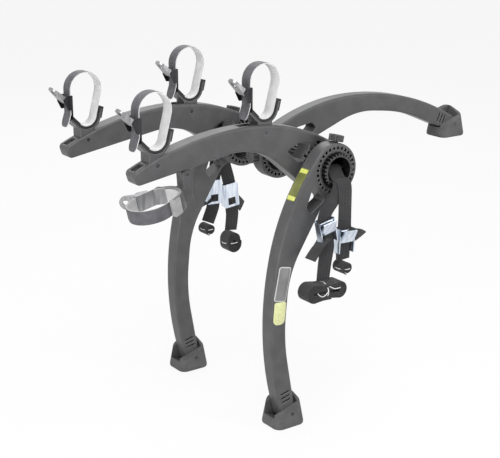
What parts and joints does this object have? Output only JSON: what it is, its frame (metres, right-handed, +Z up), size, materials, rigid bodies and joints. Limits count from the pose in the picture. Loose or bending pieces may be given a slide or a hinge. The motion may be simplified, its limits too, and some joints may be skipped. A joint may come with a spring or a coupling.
{
  "type": "trunk mounted bike rack",
  "caption": "Trunk rack for two bicycles: arched arms with ratchet-strap cradles and arched legs with tilting rubber feet, clamped on one splined tube, with tie-down webbing.",
  "frame": {"origin": "centre of the splined tube's axis", "axes": "+X points at the vehicle along the upper leg, +Y to the left along the tube, +Z up; the arms reach to -X"},
  "size_m": [0.7442, 0.366, 0.5633],
  "materials": {
    "body_plastic": "satin moulded grey",
    "knob_plastic": "satin black",
    "boot_rubber": "matt grey",
    "tube": "dark anodised",
    "liner_rubber": "matt black",
    "strap_plastic": "grey, slightly translucent",
    "buckle_steel": "bright pressed steel",
    "cam_steel": "bright zinc plate",
    "webbing": "woven black",
    "fasteners": "dark zinc plate"
  },
  "bodies": {
    "frame": {"spine_tube": "tube", "strap_anchor_pins": "fasteners", "right_webbing": "webbing", "left_webbing": "webbing", "right_cam_frames": "cam_steel", "left_cam_frames": "cam_steel"},
    "right_leg": {"right_leg": "body_plastic", "right_leg_shoe": "knob_plastic"},
    "left_leg": {"left_leg": "body_plastic", "left_leg_shoe": "knob_plastic"},
    "upper_leg": {"upper_leg": "body_plastic", "upper_leg_shoe": "knob_plastic"},
    "right_arm": {"right_arm": "body_plastic", "right_arm_shoe": "knob_plastic", "right_saddle_screws": "fasteners", "right_outer_saddle": "body_plastic", "right_outer_liner": "liner_rubber", "right_outer_strap": "strap_plastic", "right_outer_buckle": "buckle_steel", "right_inner_saddle": "body_plastic", "right_inner_liner": "liner_rubber", "right_inner_strap": "strap_plastic", "right_inner_buckle": "buckle_steel", "sway_pin": "fasteners"},
    "left_arm": {"left_arm": "body_plastic", "left_arm_shoe": "knob_plastic", "left_saddle_screws": "fasteners", "left_outer_saddle": "body_plastic", "left_outer_liner": "liner_rubber", "left_outer_strap": "strap_plastic", "left_outer_buckle": "buckle_steel", "left_inner_saddle": "body_plastic", "left_inner_liner": "liner_rubber", "left_inner_strap": "strap_plastic", "left_inner_buckle": "buckle_steel"},
    "right_leg_knob": {"right_leg_knob": "knob_plastic"},
    "left_leg_knob": {"left_leg_knob": "knob_plastic"},
    "upper_leg_knob": {"upper_leg_knob": "knob_plastic"},
    "right_arm_knob": {"right_arm_knob": "knob_plastic"},
    "left_arm_knob": {"left_arm_knob": "knob_plastic"},
    "right_foot": {"right_foot": "boot_rubber", "right_foot_pin": "fasteners"},
    "left_foot": {"left_foot": "boot_rubber", "left_foot_pin": "fasteners"},
    "upper_foot": {"upper_foot": "boot_rubber", "upper_foot_pin": "fasteners"},
    "right_outer_lever": {"right_outer_lever": "buckle_steel"},
    "right_inner_lever": {"right_inner_lever": "buckle_steel"},
    "left_outer_lever": {"left_outer_lever": "buckle_steel"},
    "left_inner_lever": {"left_inner_lever": "buckle_steel"},
    "sway": {"sway_bracket": "body_plastic", "sway_liner": "liner_rubber", "sway_strap": "strap_plastic", "sway_buckle": "buckle_steel"},
    "sway_lever": {"sway_lever": "buckle_steel"},
    "right_cam_lever_a": {"right_cam_lever_a": "cam_steel"},
    "right_cam_lever_b": {"right_cam_lever_b": "cam_steel"},
    "left_cam_lever_a": {"left_cam_lever_a": "cam_steel"},
    "left_cam_lever_b": {"left_cam_lever_b": "cam_steel"}
  },
  "joints": [
    {"name": "right_leg_swing", "type": "hinge", "parent": "frame", "child": "right_leg", "pos_m": [0, -0.137, 0], "axis": [0, 1, 0], "range_deg": [-60, 40]},
    {"name": "right_leg_knob_turn", "type": "hinge", "parent": "right_leg", "child": "right_leg_knob", "pos_m": [0.00989, -0.137, 0.0439], "axis": [0.2198, 0, 0.9755], "continuous": true},
    {"name": "left_leg_swing", "type": "hinge", "parent": "frame", "child": "left_leg", "pos_m": [0, 0.137, 0], "axis": [0, 1, 0], "range_deg": [-60, 40]},
    {"name": "left_leg_knob_turn", "type": "hinge", "parent": "left_leg", "child": "left_leg_knob", "pos_m": [0.00989, 0.137, 0.0439], "axis": [0.2198, 0, 0.9755], "continuous": true},
    {"name": "upper_leg_swing", "type": "hinge", "parent": "frame", "child": "upper_leg", "pos_m": [0, 0, 0], "axis": [0, 1, 0], "range_deg": [-20, 95]},
    {"name": "upper_leg_knob_turn", "type": "hinge", "parent": "upper_leg", "child": "upper_leg_knob", "pos_m": [-0.045, 0, -0.00039], "axis": [-1, 0, -0.0087], "continuous": true},
    {"name": "right_arm_swing", "type": "hinge", "parent": "frame", "child": "right_arm", "pos_m": [0, -0.101, 0], "axis": [0, 1, 0], "range_deg": [-45, 100]},
    {"name": "right_arm_knob_turn", "type": "hinge", "parent": "right_arm", "child": "right_arm_knob", "pos_m": [0.045, -0.101, 0], "axis": [1, 0, 0], "continuous": true},
    {"name": "left_arm_swing", "type": "hinge", "parent": "frame", "child": "left_arm", "pos_m": [0, 0.101, 0], "axis": [0, 1, 0], "range_deg": [-45, 100]},
    {"name": "left_arm_knob_turn", "type": "hinge", "parent": "left_arm", "child": "left_arm_knob", "pos_m": [0.045, 0.101, 0], "axis": [1, 0, 0], "continuous": true},
    {"name": "right_foot_tilt", "type": "hinge", "parent": "right_leg", "child": "right_foot", "pos_m": [-0.08442, -0.137, -0.37461], "axis": [0, 1, 0], "range_deg": [-17, 50]},
    {"name": "left_foot_tilt", "type": "hinge", "parent": "left_leg", "child": "left_foot", "pos_m": [-0.08442, 0.137, -0.37461], "axis": [0, 1, 0], "range_deg": [-17, 50]},
    {"name": "upper_foot_tilt", "type": "hinge", "parent": "upper_leg", "child": "upper_foot", "pos_m": [0.37399, 0, 0.00326], "axis": [0, 1, 0], "range_deg": [-66, 1]},
    {"name": "right_outer_lever_press", "type": "hinge", "parent": "right_arm", "child": "right_outer_lever", "pos_m": [-0.3209, -0.101, 0.102], "axis": [0, -1, 0], "range_deg": [0, 50], "stiffness_Nm_per_rad": 0.3, "springref_deg": -17.19},
    {"name": "right_inner_lever_press", "type": "hinge", "parent": "right_arm", "child": "right_inner_lever", "pos_m": [-0.1354, -0.101, 0.1245], "axis": [0, -1, 0], "range_deg": [0, 50], "stiffness_Nm_per_rad": 0.3, "springref_deg": -17.19},
    {"name": "left_outer_lever_press", "type": "hinge", "parent": "left_arm", "child": "left_outer_lever", "pos_m": [-0.3209, 0.101, 0.102], "axis": [0, -1, 0], "range_deg": [0, 50], "stiffness_Nm_per_rad": 0.3, "springref_deg": -17.19},
    {"name": "left_inner_lever_press", "type": "hinge", "parent": "left_arm", "child": "left_inner_lever", "pos_m": [-0.1354, 0.101, 0.1245], "axis": [0, -1, 0], "range_deg": [0, 50], "stiffness_Nm_per_rad": 0.3, "springref_deg": -17.19},
    {"name": "sway_fold", "type": "hinge", "parent": "right_arm", "child": "sway", "pos_m": [-0.238, -0.101, 0.0195], "axis": [0, 1, 0], "range_deg": [-32, 8]},
    {"name": "sway_lever_press", "type": "hinge", "parent": "sway", "child": "sway_lever", "pos_m": [-0.28985, -0.0636, -0.02162], "axis": [0.225, 0, -0.9744], "range_deg": [0, 50], "stiffness_Nm_per_rad": 0.3, "springref_deg": -17.19},
    {"name": "right_cam_lever_a_open", "type": "hinge", "parent": "frame", "child": "right_cam_lever_a", "pos_m": [-0.031, -0.1711, -0.086], "axis": [-0.9781, 0, -0.2079], "range_deg": [-60, 0], "stiffness_Nm_per_rad": 0.3, "springref_deg": 17.19},
    {"name": "right_cam_lever_b_open", "type": "hinge", "parent": "frame", "child": "right_cam_lever_b", "pos_m": [0.005, -0.1711, -0.106], "axis": [-0.9986, 0, 0.0523], "range_deg": [-60, 0], "stiffness_Nm_per_rad": 0.3, "springref_deg": 17.19},
    {"name": "left_cam_lever_a_open", "type": "hinge", "parent": "frame", "child": "left_cam_lever_a", "pos_m": [-0.011, 0.1711, -0.101], "axis": [0.9994, 0, -0.0349], "range_deg": [-60, 0], "stiffness_Nm_per_rad": 0.3, "springref_deg": 17.19},
    {"name": "left_cam_lever_b_open", "type": "hinge", "parent": "frame", "child": "left_cam_lever_b", "pos_m": [0.024, 0.1711, -0.112], "axis": [0.9945, 0, 0.1045], "range_deg": [-60, 0], "stiffness_Nm_per_rad": 0.3, "springref_deg": 17.19}
  ]
}
